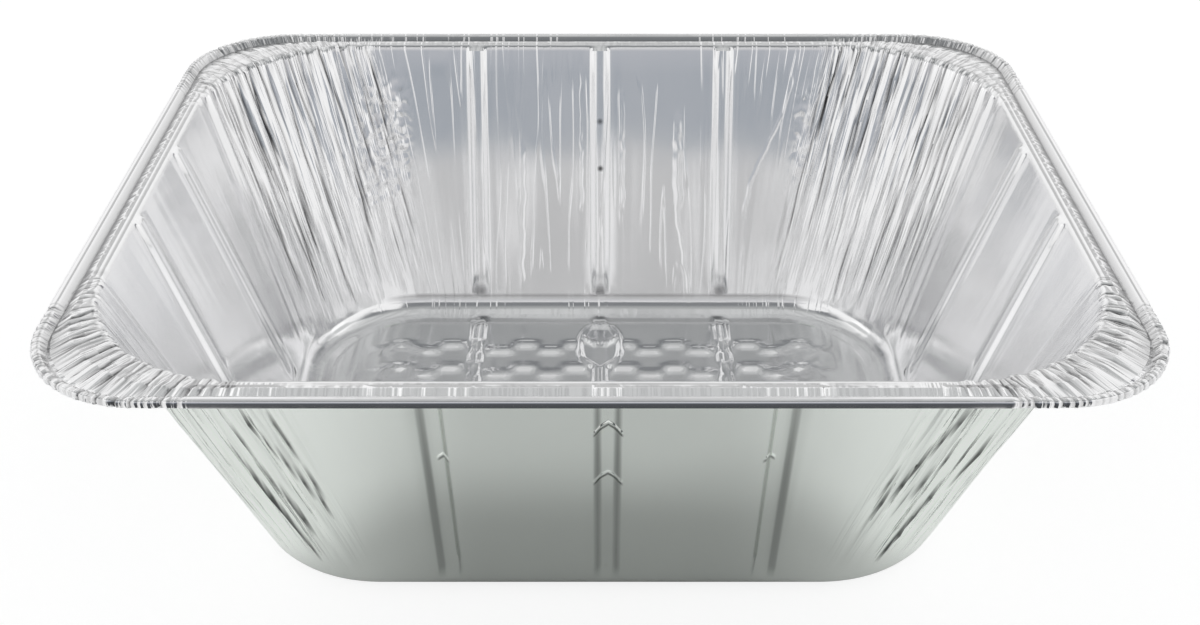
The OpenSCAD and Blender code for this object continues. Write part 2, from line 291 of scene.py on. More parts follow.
# At the corners the sheet is longer than the outline it has to follow, so the spare foil is laid
# in folds: long creases down the wall, more of them towards the long side than the short one,
# shorter creases between them, close gathers across the flange, and crimps round the roll.
corner_reach = 0.055
crimp_pitch = 0.0015


def waver(position, chance, size):
    """A slow sideways wander: two sines of chance phase along position, up to size each way."""
    phase = chance.uniform(0.0, 2.0 * math.pi, 2)
    return size * (0.6 * np.sin(5.0 * position + phase[0]) + 0.4 * np.sin(13.0 * position + phase[1]))


def crease(across, along, path, ends, near_w, far_w):
    """A crease as a share of its depth: 1 along path, 0 from near_w before it and far_w past it.

    It dies out towards both ends. across and path are in metres along the mouth, and along and ends
    share one scale up the sheet.
    """
    middle, reach = (ends[0] + ends[1]) / 2, (ends[1] - ends[0]) / 2
    stretch = np.sqrt(np.clip(1.0 - ((along - middle) / reach) ** 2, 0.0, 1.0))
    offset = across[None, :] - path[:, None]
    before = np.clip(1.0 + offset / near_w, 0.0, 1.0)
    after = np.clip(1.0 - offset / far_w, 0.0, 1.0)
    return stretch[:, None] * np.minimum(before, after)


def press(folds, share, depth, dark, line=0.45):
    """Adds a crease to folds: its rounded sides to the lift, a painted dark line of shade to the shade.
    """
    folds[0] -= depth * share ** 2
    folds[1] = np.maximum(folds[1], dark * smooth(share, line, line + 0.5))


def wall_creases(across, up, chance):
    """Lift and shade of the creases in a corner wall, at distance across from the corner's middle."""
    folds = np.zeros((2, len(up), len(across)))
    low, high = -0.029, 0.047
    count = 24
    gap = (high - low) / count
    for k in range(count):
        place = low + (k + 0.5 + chance.uniform(-0.3, 0.3)) * gap
        widths = (0.0008, 0.0022) if chance.uniform() < 0.5 else (0.0022, 0.0008)
        path = place + waver(up, chance, 0.0017) + chance.uniform(-0.0015, 0.0025) * (1.0 - up)
        ends = (chance.uniform(0.35, 0.80), 1.12)
        deep = chance.uniform(0.3, 1.0)
        press(folds, crease(across, up, path, ends, *widths), 0.0014 * deep, 1.1 * deep)
        path = path + chance.uniform(-0.5, 0.5) * gap
        top = ends[0] + chance.uniform(0.0, 0.15)
        ends = (top - chance.uniform(0.2, 0.55), top)
        deep = chance.uniform(0.2, 1.0)
        press(folds, crease(across, up, path, ends, *widths), 0.0012 * deep, 1.2 * deep)
    for k in range(40):
        place = chance.uniform(low, high)
        middle, reach = chance.uniform(0.1, 1.0), chance.uniform(0.04, 0.14)
        widths = chance.uniform(0.0007, 0.0016, 2)
        path = place + waver(up, chance, 0.0006) + chance.uniform(-0.006, 0.006) * (up - middle)
        ends = (middle - reach, middle + reach)
        deep = chance.uniform(-0.6, 1.0)
        press(folds, crease(across, up, path, ends, *widths), 0.0006 * deep, max(deep, 0.0))
    edge = smooth(across, low - 0.003, low + 0.004) * (1.0 - smooth(across, high - 0.004, high + 0.003))
    fade = (1.0 - smooth(flange_share, 0.10, 0.45)) * smooth(up, 0.0, 0.08)
    return folds * fade[:, None] * edge


def flange_gathers(across, share, chance):
    """Lift and shade of the gathers across one corner of the flange, which lean near its middle."""
    folds = np.zeros((2, len(share), len(across)))
    low, high = -0.047, 0.041
    for count, deepest, ends in ((25, 0.00090, (-0.05, 1.12)), (24, 0.00050, None)):
        gap = (high - low) / count
        for k in range(count):
            place = low + (k + 0.5 + chance.uniform(-0.3, 0.3)) * gap
            lean = 0.0042 * math.exp(-((place - 0.006) / 0.016) ** 2) + chance.uniform(-0.001, 0.001)
            widths = (0.0006, 0.0016) if chance.uniform() < 0.5 else (0.0016, 0.0006)
            path = place + waver(0.4 * share, chance, 0.0006) + lean * (share - 0.4)
            reach = ends or (chance.uniform(-0.3, 0.4), chance.uniform(0.6, 1.3))
            deep = chance.uniform(0.35, 1.0)
            press(folds, crease(across, share, path, reach, *widths), deepest * deep, 1.1 * deep)
    edge = smooth(across, low - 0.002, low + 0.008) * (1.0 - smooth(across, high - 0.004, high + 0.003))
    fade = smooth(share, 0.0, 0.2) * (1.0 - 0.5 * smooth(share, 0.8, 1.0))
    return folds * fade[:, None] * edge


def roll_crimps(across, half, chance):
    """Lift and shade of the crimps round the roll, from the corner's middle to half either way."""
    folds = np.zeros((2, 1, len(across)))
    count = round(2.0 * half / crimp_pitch)
    gap = 2.0 * half / count
    here = np.zeros(1)
    for k in range(count):
        place = -half + (k + 0.5 + chance.uniform(-0.35, 0.35)) * gap
        widths = (0.0006, 0.0012) if chance.uniform() < 0.5 else (0.0012, 0.0006)
        deep = chance.uniform(0.3, 1.0)
        crimp = crease(across, here, np.array([place]), (-1.0, 1.0), *widths)
        press(folds, crimp, 0.0007 * deep, 0.8 * deep)
    return folds * (1.0 - smooth(np.abs(across), half - 0.003, half + 0.003))


# The front corners' own long creases: (across, up) of both ends, depth and darkness of painted shade
front_creases = {
    2: [((0.0269, 0.83), (0.0280, 0.70), 0.0012, 0.9), ((0.0324, 0.91), (0.0362, 0.71), 0.0013, 1.0),
        ((0.0358, 0.75), (0.0382, 0.60), 0.0008, 0.5), ((0.0386, 0.60), (0.0394, 0.48), 0.0008, 0.5),
        ((0.0216, 0.66), (0.0243, 0.07), 0.0014, 1.0), ((0.0268, 0.62), (0.0286, 0.44), 0.0008, 0.6),
        ((0.0293, 0.45), (0.0301, 0.28), 0.0012, 1.0), ((0.0430, 0.58), (0.0403, 0.39), 0.0010, 0.6),
        ((0.0414, 0.90), (0.0424, 0.66), 0.0007, 0.4)],
    3: [((0.0296, 0.93), (0.0335, 0.68), 0.0011, 0.8), ((0.0345, 0.67), (0.0368, 0.58), 0.0012, 1.0),
        ((0.0366, 0.62), (0.0367, 0.45), 0.0010, 0.6), ((0.0262, 0.66), (0.0314, 0.48), 0.0010, 0.7),
        ((0.0310, 0.52), (0.0322, 0.42), 0.0008, 0.4), ((0.0195, 0.73), (0.0212, 0.57), 0.0010, 0.7),
        ((0.0148, 0.68), (0.0158, 0.51), 0.0010, 0.6), ((0.0219, 0.50), (0.0248, 0.06), 0.0014, 1.0),
        ((0.0420, 0.59), (0.0377, 0.32), 0.0010, 0.4)],
}

# The main pleats stand where the solid has them: in and out by turns, uneven from pleat to pleat
pleats_n = 12
pleat_depth = 0.0015
flange_pleat_depth = 0.0007
half_pleats = np.arange(2 * pleats_n + 1)
pleat_shares = np.where(half_pleats % 2 == 1, 0.5, -0.5)
pleat_shares = pleat_shares * (1.0 - 0.35 * np.sin(np.radians(137 * half_pleats)) ** 2)
pleat_shares[[0, -1]] = 0.0
quarter_share = (np.arctan2(out_y, out_x) / (math.pi / 2) + 1e-9) % 1.0
pleat_reach = np.interp(wall_up, [0.0, 0.06, 0.4, 0.75], [0.0, 0.25, 0.6, 1.0]) * pleat_depth
crest_in, crest_out = (flange_share[k - 1] for k in (shoulder_end, crest_end))
flange_places = [0.0, crest_in, crest_out, 1.0]
flange_depths = [0.7 * pleat_depth, flange_pleat_depth, flange_pleat_depth, 0.4 * flange_pleat_depth]
over_flange = np.interp(flange_share, flange_places, flange_depths)
pleat_reach[wall_end - 1:slope_end] = over_flange[wall_end - 1:slope_end]
pleat_reach[slope_end:] = 0.0
pleat_lift = pleat_reach[:, None] * np.interp(quarter_share * 2 * pleats_n, half_pleats, pleat_shares)

creases = np.zeros((2, rows_n, columns_n))
gathered = np.zeros(columns_n)
crimped = np.zeros(columns_n)
for corner, (middle, corner_walk) in enumerate(corner_middles):
    chance = np.random.default_rng(20 + corner)
    across = corner_walk * ((around - around[middle] + perimeter / 2) % perimeter - perimeter / 2)
    near = np.abs(across) < corner_reach
    across = across[near]
    walls = wall_creases(across, wall_up, chance)
    if corner in front_creases:
        walls *= np.array([0.45, 0.25])[:, None, None]
    for (first, first_up), (last, last_up), depth, dark in front_creases.get(corner, []):
        path = between(first, last, (wall_up - first_up) / (last_up - first_up))
        path = path + waver(wall_up, chance, 0.00015)
        fold = crease(across, wall_up, path, (last_up, first_up), 0.0009, 0.0012)
        press(walls, fold, depth, 2.4 * dark, 0.2)
    flange = flange_gathers(across, flange_share, chance)
    if corner not in front_creases:
        flange *= np.array([0.5, 0.4])[:, None, None]
    flange[:, slope_end:] = 0.0
    roll = np.zeros_like(walls)
    crimped_half = 0.031 if corner in front_creases else 0.036
    roll[:, slope_end:] = roll_crimps(across, crimped_half, chance)
    creases[:, :, near] += walls + flange + roll
    gathered[near] = smooth(across, -0.040, -0.026) * (1.0 - smooth(across, 0.044, 0.052))
    crimped[near] = 1.0 - smooth(np.abs(across), crimped_half - 0.003, crimped_half + 0.003)

# The bottom of the groove lies in the roll's shadow, except at the front, where light falls into it
groove_shade_rows = np.zeros(rows_n)
groove_shade_rows[slope_end - 2:slope_end + 1] = (1.0, 1.0, 0.3)
groove_shade = 0.38 * groove_shade_rows[:, None] * smooth(out_y, -0.8, -0.2)
creases[1] = np.maximum(creases[1], groove_shade)
# A fine dark line of painted shade runs along the foot of the back wall
foot_shade_line = 0.5 * smooth(out_y[fillet_end - 1], 0.9, 1.0)
creases[1, fillet_end - 1] = np.maximum(creases[1, fillet_end - 1], foot_shade_line)

# The long flat stretches of foil aren't quite flat: they swell and sag by a few tenths of a
# millimetre, which is what breaks up the reflections in them.
swell_h = 0.00006
swell_lift = np.zeros((rows_n, columns_n))
chance = np.random.default_rng(7)
for k in range(10):
    waves_round = chance.integers(6, 22)
    waves_up = chance.uniform(0.2, 1.2)
    phase = chance.uniform(0.0, 2.0 * math.pi, 2)
    swell_lift += (swell_h * np.sin(2.0 * math.pi * waves_round * around / perimeter + phase[0])[None, :]
                   * np.sin(2.0 * math.pi * waves_up * wall_up + phase[1])[:, None])
swell_lift *= (np.sin(math.pi * wall_up) ** 0.5)[:, None]
swell_lift[slope_end:] = 0.0

sheet = lifted(rib_lift + pleat_lift + creases[0] + swell_lift)


# The floor is embossed to stiffen it: rows of ridges that step to and fro across the pan, three
# ribs square to them in line with the ribs of the back wall, and a boss near each end of the
# middle rib.
ridge_rows = (np.arange(8) - 3.5) * 0.0165
ridge_half_w = 0.0046
ridge_h = 0.0009
ridge_step = 0.0023
step_l = 0.010
floor_rib_h = 0.0011
floor_rib_half_w = 0.0035
floor_rib_half_flat = 0.0018
boss_h = 0.0011
boss_y = 0.058
boss_half_l = 0.0155
boss_half_w = 0.0083
emboss_margin = 0.0045


def bump(distance, half_w):
    """A round-topped ridge: cos^2 of the distance, 0 from half_w on."""
    return np.where(np.abs(distance) < half_w, np.cos(0.5 * math.pi * distance / half_w) ** 2, 0.0)


def stepped(x):
    """Side of the step, from -1 to 1: alternates every step_l and starts afresh at the side ribs."""
    knots = np.arange(0, 11) * step_l
    sides = np.array([-1.0, 1.0, -1.0, 1.0, -1.0, -1.0, 1.0, -1.0, 1.0, -1.0, 1.0])
    fine = np.abs(x) / step_l
    low_knot = np.clip(np.floor(fine).astype(int), 0, len(knots) - 2)
    return between(sides[low_knot], sides[low_knot + 1], smooth(fine - low_knot, 0.36, 0.64))


def stroke(x, y, start, end, half_w):
    """A raised stroke: bump() of the distance from the straight line between start and end."""
    line_x, line_y = end[0] - start[0], end[1] - start[1]
    share = ((x - start[0]) * line_x + (y - start[1]) * line_y) / (line_x ** 2 + line_y ** 2)
    share = np.clip(share, 0.0, 1.0)
    return bump(np.hypot(x - start[0] - share * line_x, y - start[1] - share * line_y), half_w)


def floor_height(x, y):
    """Height of the embossing over the flat floor: the highest of ridges, ribs and bosses."""
    ridges = np.zeros_like(x)
    for row in ridge_rows:
        ridges = np.maximum(ridges, bump(y - row - ridge_step * stepped(x), ridge_half_w))
    ridges *= ridge_h * (1.0 - smooth(np.abs(x), 0.084, 0.094))
    nearest_rib = np.min(np.abs(x[..., None] - np.array(long_ribs)), axis=-1)
    ridges *= between(0.3, 1.0, smooth(nearest_rib, 0.0035, 0.0060))
    nearest_row = np.min(np.abs(np.abs(y)[..., None] - np.abs(ridge_rows)), axis=-1)
    narrowing = between(0.62, 1.0, smooth(nearest_row, 0.001, 0.006))
    in_boss = np.clip(1.0 - ((np.abs(y) - boss_y) / boss_half_l) ** 2, 0.0, 1.0)
    ribs = np.zeros_like(x)
    flank_w = floor_rib_half_w - floor_rib_half_flat
    for rib in long_ribs:
        distance = np.abs(x - rib) / (narrowing if rib else 1.0)
        shape = np.clip((floor_rib_half_w - distance) / flank_w, 0.0, 1.0)
        shape -= 0.55 * bump(distance, floor_rib_half_flat)
        ribs = np.maximum(ribs, shape * (1.0 if rib else 1.0 - smooth(in_boss, 0.0, 0.2)))
    ribs *= floor_rib_h * (1.0 - smooth(np.abs(y), floor_half_w - 0.004, floor_half_w - 0.001))
    outline = 0.0028 + (boss_half_w - 0.0028) * np.sqrt(in_boss)
    ridges *= 1.0 - (in_boss > 0.0) * smooth(-np.abs(x), -outline - 0.002, -outline)
    boss = bump(np.abs(x) - outline, 0.0020) * (in_boss > 0.0)
    across, along = np.abs(x), np.abs(y) - boss_y
    boss = np.maximum(boss, stroke(across, along, (0.0075, 0.0070), (0.0022, 0.0020), 0.0019))
    boss = np.maximum(boss, stroke(across, along, (0.0070, -0.0090), (0.0020, -0.0150), 0.0019))
    return np.maximum(np.maximum(ridges, ribs), boss_h * boss)


# The grid is finer across the bosses than elsewhere
grid_y = np.concatenate([np.linspace(0.0, 0.0415, 19), np.linspace(0.0425, 0.0735, 28), [0.0755]])
grid_y = np.concatenate([-grid_y[:0:-1], grid_y])
inner_x = np.concatenate([np.arange(0.0, 10.6, 0.7) / 1000, np.arange(12.0, 45.0, 2.0) / 1000,
                          long_ribs[2] + rib_lines, np.arange(56.0, 67.0, 2.0) / 1000])
inner_x = np.concatenate([-inner_x[:0:-1], inner_x])
outer_share = np.linspace(0.0, 1.0, 13)[1:]
over = np.maximum(0.0, np.abs(grid_y) - (floor_half_w - floor_corner_r))
floor_reach = floor_half_l - floor_corner_r + np.sqrt(floor_corner_r ** 2 - over ** 2) - emboss_margin
outer_x = between(inner_x[-1], floor_reach[None, :], outer_share[:, None])
grid_x = np.vstack([-outer_x[::-1], np.repeat(inner_x[:, None], len(grid_y), axis=1), outer_x])
grid_yy = np.repeat(grid_y[None, :], len(grid_x), axis=0)
grid_z = foil_t / 2 + floor_height(grid_x, grid_yy)
grid = np.stack([grid_x, grid_yy, grid_z], axis=-1)
grid_m, grid_n = grid_x.shape


# The sheet becomes one mesh: the rings, the floor's grid, and a band of triangles that joins the
# grid's edge to the first ring. It is then given the foil's thickness on both sides.
def ring_faces(count_rows, count_columns):
    """Four corners of each face between rows and columns, the last column meeting the first."""
    i, j = np.meshgrid(np.arange(count_rows - 1), np.arange(count_columns), indexing="ij")
    following = (j + 1) % count_columns
    corners = [i * count_columns + j, (i + 1) * count_columns + j,
               (i + 1) * count_columns + following, i * count_columns + following]
    return np.stack(corners, axis=-1).reshape(-1, 4)


def grid_faces(count_x, count_y, start):
    """Four corners of each cell of a grid whose points are numbered from start."""
    m, n = np.meshgrid(np.arange(count_x - 1), np.arange(count_y - 1), indexing="ij")
    corner = start + m * count_y + n
    return np.stack([corner, corner + count_y, corner + count_y + 1, corner + 1], axis=-1).reshape(-1, 4)


def joining_faces(inner, outer, points):
    """Triangles between two loops round the middle, each loop stepping on as its angle comes up."""
    loops = []
    for loop in (inner, outer):
        angle = np.arctan2(points[loop, 1], points[loop, 0]) % (2.0 * math.pi)
        loop = np.roll(loop, -np.argmin(angle))
        angle = np.roll(angle, -np.argmin(angle))
        steps = (angle + np.append(angle[1:], angle[0] + 2.0 * math.pi)) / 2.0
        loops.append((loop, steps))
    (inner, inner_steps), (outer, outer_steps) = loops
    met = np.searchsorted(outer_steps, inner_steps) % len(outer)
    from_inner = np.column_stack([inner, outer[met], np.roll(inner, -1)])
    met = np.searchsorted(inner_steps, outer_steps, side="right") % len(inner)
    from_outer = np.column_stack([inner[met], outer, np.roll(outer, -1)])
    return np.vstack([from_inner, from_outer])


grid_start = rows_n * columns_n
points = np.vstack([sheet.reshape(-1, 3), grid.reshape(-1, 3)])
edge_m = np.concatenate([np.full(grid_n, grid_m - 1), np.arange(grid_m - 2, -1, -1),
                         np.zeros(grid_n - 1, int), np.arange(1, grid_m - 1)])
edge_n = np.concatenate([np.arange(grid_n), np.full(grid_m - 1, grid_n - 1),
                         np.arange(grid_n - 2, -1, -1), np.zeros(grid_m - 2, int)])
grid_edge = grid_start + edge_m * grid_n + edge_n
quads = np.vstack([ring_faces(rows_n, columns_n), grid_faces(grid_m, grid_n, grid_start)])
triangles = joining_faces(grid_edge, np.arange(columns_n), points)

pan_mesh = bpy.data.meshes.new("foil_sheet")
pan_mesh.from_pydata(points.tolist(), [], quads.tolist() + triangles.tolist())
pan_mesh.shade_smooth()
pan_mesh.set_sharp_from_angle(angle=math.radians(38))

# The map follows the foil: distance round the pan and distance up the sheet, both in metres
map_u = np.concatenate([np.tile(around, rows_n), grid[..., 0].ravel()])
map_v = np.concatenate([np.repeat(line_length, columns_n), grid[..., 1].ravel()])
loop_points = np.concatenate([quads.ravel(), triangles.ravel()])
loop_u, loop_v = map_u[loop_points], map_v[loop_points]
ring_loops = (rows_n - 1) * columns_n * 4
wraps = loop_u[:ring_loops].reshape(-1, 4)
wraps[:, 2:] += np.where(wraps[:, 2:] < wraps[:, :1] - perimeter / 2, perimeter, 0.0)
pan_map = pan_mesh.uv_layers.new(name="sheet_map")
pan_map.data.foreach_set("uv", np.column_stack([loop_u, loop_v]).ravel())

# Marks: where the foil is gathered, how deep the flutes are, and the painted shade along the creases
# and on the flanks of the ribs
floor_zeros = np.zeros(grid_m * grid_n)
gather_value = gathered[None, :] * smooth(wall_up, 0.0, 0.15)[:, None]
gather_value[slope_end:] *= crimped
# Flutes cross the flange: at the front they are deepest in five places, and faint between them
flute_places = ((-0.0985, 0.0105), (-0.0475, 0.0135), (0.002, 0.002), (0.051, 0.010), (0.103, 0.008))
flute_depth = np.full(columns_n, 0.35)
along_front = out_y[shoulder_end] < -0.9
for middle, reach in flute_places:
    cluster = 0.12 + 0.88 * smooth(-np.abs(flat_x[shoulder_end] - middle), -reach - 0.003, -reach)
    flute_depth = np.where(along_front, np.maximum(flute_depth - 0.1, cluster), flute_depth)
flange_value = np.zeros((rows_n, 1))
flange_value[shoulder_end - 2:crest_end - 1] = 0.12
flange_value[crest_end - 1:slope_end - 1] = 1.0
marks = {"gathered": gather_value, "flange": flange_value * flute_depth,
         "painted_crease_shade": np.clip(creases[1], 0.0, 1.0), "flank": rib_flank_shade}
for mark_name, on_sheet in marks.items():
    mark = pan_mesh.attributes.new(mark_name, "FLOAT", "POINT")
    mark_values = np.concatenate([on_sheet.ravel(), floor_zeros])
    mark.data.foreach_set("value", mark_values.astype(np.float32))

pan = bpy.data.objects.new("foil_sheet", pan_mesh)
bpy.context.scene.collection.objects.link(pan)
thickness = pan.modifiers.new("thickness", "SOLIDIFY")
thickness.thickness = foil_t
thickness.offset = 0.0
thickness.use_rim = True
thickness.material_offset = 1
thickness.material_offset_rim = 0


# The foil is bright on the food side and satin outside, as it leaves the rolling mill, where the
# last pass rolls two sheets together. Fine creases, flutes and a faint swell are in its normals.
def link(tree, source, target):
    """Joins an output socket to an input socket."""
    tree.links.new(source, target)


def add_node(tree, kind, levels=None):
    """A new shader node, with some of its inputs set."""
    node = tree.nodes.new("ShaderNode" + kind)
    for name, level in (levels or {}).items():
        node.inputs[name].default_value = level
    return node


def value_node(tree, operation, first, second=None, third=None):
    """A Math node whose inputs are sockets or numbers."""
    node = add_node(tree, "Math")
    node.operation = operation
    for k, item in enumerate((first, second, third)):
        if item is None:
            continue
        if isinstance(item, (int, float)):
            node.inputs[k].default_value = item
        else:
            link(tree, item, node.inputs[k])
    return node.outputs[0]


def product(tree, first, second):
    """first * second"""
    return value_node(tree, "MULTIPLY", first, second)


def total(tree, first, second):
    """first + second"""
    return value_node(tree, "ADD", first, second)


def linear(tree, source, rate, start):
    """rate * source + start"""
    return value_node(tree, "MULTIPLY_ADD", source, rate, start)


def apart(tree, first, second):
    """|first - second|"""
    return value_node(tree, "ABSOLUTE", value_node(tree, "SUBTRACT", first, second))


def split(tree, vector):
    """The X, Y and Z of a vector."""
    node = add_node(tree, "SeparateXYZ")
    link(tree, vector, node.inputs[0])
    return node.outputs["X"], node.outputs["Y"], node.outputs["Z"]


def attribute(tree, name):
    """The mark called name, from the mesh."""
    node = add_node(tree, "Attribute")
    node.attribute_name = name
    return node.outputs["Fac"]


def grey(level):
    """A neutral colour."""
    return (level, level, level)


def ramp(tree, source, stops):
    """A colour ramp with smooth steps between (place, colour) stops."""
    node = add_node(tree, "ValToRGB")
    node.color_ramp.interpolation = "EASE"
    elements = node.color_ramp.elements
    while len(elements) < len(stops):
        elements.new(0.5)
    for element, (stop, colour) in zip(elements, stops):
        element.position = stop
        element.color = (*colour, 1.0)
    link(tree, source, node.inputs["Fac"])
    return node.outputs["Color"]


def mask(tree, source, start, end):
    """0 up to start and 1 from end on, or the other way round where end is the smaller."""
    node = add_node(tree, "MapRange", {"From Min": start, "From Max": end})
    node.interpolation_type = "SMOOTHSTEP"
    link(tree, source, node.inputs["Value"])
    return node.outputs["Result"]


def blend(tree, share, under, over):
    """The colour under where share is 0, and over where it is 1."""
    node = add_node(tree, "Mix")
    node.data_type = "RGBA"
    link(tree, share, node.inputs["Factor"])
    for name, colour in (("A", under), ("B", over)):
        if isinstance(colour, tuple):
            node.inputs[name].default_value = (*colour, 1.0)
        else:
            link(tree, colour, node.inputs[name])
    return node.outputs["Result"]


def window(tree, *edges):
    """1 inside every (source, start, end) edge, each a soft mask, and 0 outside any of them."""
    share = mask(tree, *edges[0])
    for edge in edges[1:]:
        share = product(tree, share, mask(tree, *edge))
    return share


def stretched_noise(tree, coordinates, scale, detail, roughness):
    """Noise whose cells are 1 / scale metres along each direction of the map."""
    mapping = add_node(tree, "Mapping", {"Scale": scale})
    link(tree, coordinates, mapping.inputs["Vector"])
    noise = add_node(tree, "TexNoise", {"Scale": 1.0, "Detail": detail, "Roughness": roughness})
    link(tree, mapping.outputs[0], noise.inputs["Vector"])
    return noise.outputs["Fac"]


def streak(tree, x, z, wander, top, bottom, half_w):
    """1 along the middle of a wandering streak down the back wall, from top to bottom, each (x, z)."""
    fade = 0.004
    down = mask(tree, z, top[1], bottom[1])
    path = linear(tree, down, bottom[0] - top[0], top[0])
    offset = apart(tree, x, total(tree, path, wander))
    return window(tree, (offset, half_w, 0.0), (z, bottom[1] - fade, bottom[1] + fade),
                  (z, top[1] + fade, top[1] - fade))


def nip(tree, x, z, middle, half_w):
    """1 along a nip across a rib at the front: two strokes that run down to both sides of (x, z)."""
    aside = apart(tree, x, middle[0])
    path = linear(tree, aside, -0.9, middle[1])
    return window(tree, (apart(tree, z, path), 0.0016, 0.0), (aside, half_w + 0.0005, half_w - 0.0005))


# Streaks down the back wall: top, bottom and half width. Crumpled patches: left, right, low, high
# and depth. Nips: middle and half width. Spots: place, radius and darkness.
back_streaks = (((-0.0075, 0.096), (-0.0078, 0.042), 0.0010), ((0.0095, 0.086), (0.0090, 0.042), 0.0012),
                ((0.0320, 0.078), (0.0320, 0.044), 0.0024), ((0.0320, 0.044), (0.0375, 0.006), 0.0013),
                ((-0.0320, 0.066), (-0.0325, 0.012), 0.0015), ((0.0780, 0.094), (0.0600, 0.040), 0.0012))
crumpled_patches = ((-0.103, -0.075, 0.036, 0.100, 3.2), (0.076, 0.090, 0.046, 0.098, 2.2))
nips = (((0.0024, 0.0854), 0.0042), ((0.0024, 0.0622), 0.0042), ((-0.0457, 0.0705), 0.0016),
        ((0.0494, 0.0708), 0.0016))
spots = (((0.0019, -0.0904, 0.0121), 0.0016, 0.8), ((0.0534, -0.0904, 0.0121), 0.0014, 0.6),
         ((0.0, 0.1096, 0.0767), 0.0018, 0.7), ((0.0002, 0.1037, 0.0582), 0.0018, 0.9),
         ((0.0, 0.0880, 0.0085), 0.0045, 0.6), ((0.050, 0.0880, 0.0085), 0.0045, 0.6),
         ((-0.050, 0.0880, 0.0085), 0.0045, 0.6))


def make_foil_marks():
    """Height of the foil's fine creases in millimetres, its roughness, and its painted shade and spots.
    """
    group = bpy.data.node_groups.new("foil_marks", "ShaderNodeTree")
    for in_out, names in (("INPUT", ("Crease depth", "Flank shade", "Smoothest", "Roughest")),
                          ("OUTPUT", ("Height", "Roughness", "Shade"))):
        for name in names:
            group.interface.new_socket(name, in_out=in_out, socket_type="NodeSocketFloat")
    inputs = group.nodes.new("NodeGroupInput").outputs
    outputs = group.nodes.new("NodeGroupOutput").inputs
    map_node = add_node(group, "UVMap")
    map_node.uv_map = "sheet_map"
    sheet_map = map_node.outputs[0]
    place = add_node(group, "TexCoord").outputs["Object"]
    x, y, z = split(group, place)

    # Folds: noise drawn out up the wall, turned to sharp valleys by how far it is from its middle
    wide = apart(group, stretched_noise(group, sheet_map, (330.0, 16.0, 1.0), 2.0, 0.5), 0.5)
    narrow = apart(group, stretched_noise(group, sheet_map, (800.0, 40.0, 1.0), 2.0, 0.5), 0.5)
    folds = total(group, product(group, wide, 1.3), product(group, narrow, 0.3))
    folds = product(group, folds, attribute(group, "gathered"))
    folds = product(group, folds, inputs["Crease depth"])
    # Flutes: shallow waves square to the rim, of uneven depth
    flutes = stretched_noise(group, sheet_map, (300.0, 12.0, 1.0), 1.0, 0.5)
    flutes = product(group, flutes, attribute(group, "flange"))
    flutes = product(group, flutes, 2.8)
    # Swell: the slow unevenness of thin foil
    slow = stretched_noise(group, place, (22.0, 22.0, 22.0), 1.0, 0.4)
    swell = product(group, slow, 0.22)
    # Back wall: thin lines here and there, a few strong streaks and two crumpled patches
    drawn = stretched_noise(group, sheet_map, (150.0, 9.0, 1.0), 1.0, 0.5)
    thin_lines = window(group, (apart(group, drawn, 0.5), 0.035, 0.0), (slow, 0.40, 0.55))
    at_back = product(group, thin_lines, 0.10)
    wander = stretched_noise(group, place, (0.0, 0.0, 75.0), 1.0, 0.6)
    wander = linear(group, wander, 0.004, -0.002)
    for top, bottom, half_w in back_streaks:
        share = streak(group, x, z, wander, top, bottom, half_w)
        at_back = linear(group, share, 130.0 * half_w, at_back)
    crumple = apart(group, stretched_noise(group, place, (150.0, 150.0, 110.0), 1.0, 0.5), 0.5)
    for left, right, low, high, depth in crumpled_patches:
        share = window(group, (x, left, left + 0.009), (x, right, right - 0.009),
                       (z, low, low + 0.02), (z, high, high - 0.02))
        share = product(group, share, depth)
        at_back = linear(group, crumple, share, at_back)
    at_back = product(group, at_back, mask(group, y, 0.080, 0.084))
    # Front wall: nips across its ribs
    at_front = 0.0
    for middle, half_w in nips:
        at_front = linear(group, nip(group, x, z, middle, half_w), 0.35, at_front)
    at_front = product(group, at_front, mask(group, y, -0.080, -0.084))
    # Faint streaks up every wall
    streaks = linear(group, drawn, 0.10, total(group, at_back, at_front))
    height = total(group, total(group, folds, flutes), swell)
    height = total(group, height, streaks)
    link(group, height, outputs["Height"])

    # Painted shade along the creases and on the flanks of the ribs outside, and a few dark spots
    flank_shade = product(group, attribute(group, "flank"), inputs["Flank shade"])
    crease_shade = product(group, attribute(group, "painted_crease_shade"), 0.9)
    shade = value_node(group, "MAXIMUM", crease_shade, flank_shade)
    for middle, radius, dark in spots:
        away = add_node(group, "VectorMath")
        away.operation = "DISTANCE"
        away.inputs[1].default_value = middle
        link(group, place, away.inputs[0])
        spot = mask(group, away.outputs["Value"], radius, 0.1 * radius)
        shade = value_node(group, "MAXIMUM", shade, product(group, spot, dark))
    link(group, shade, outputs["Shade"])

    grain = stretched_noise(group, place, (90.0, 90.0, 90.0), 1.0, 0.6)
    spread = value_node(group, "SUBTRACT", inputs["Roughest"], inputs["Smoothest"])
    rough = linear(group, grain, spread, inputs["Smoothest"])
    link(group, rough, outputs["Roughness"])
    return group


foil_marks = make_foil_marks()


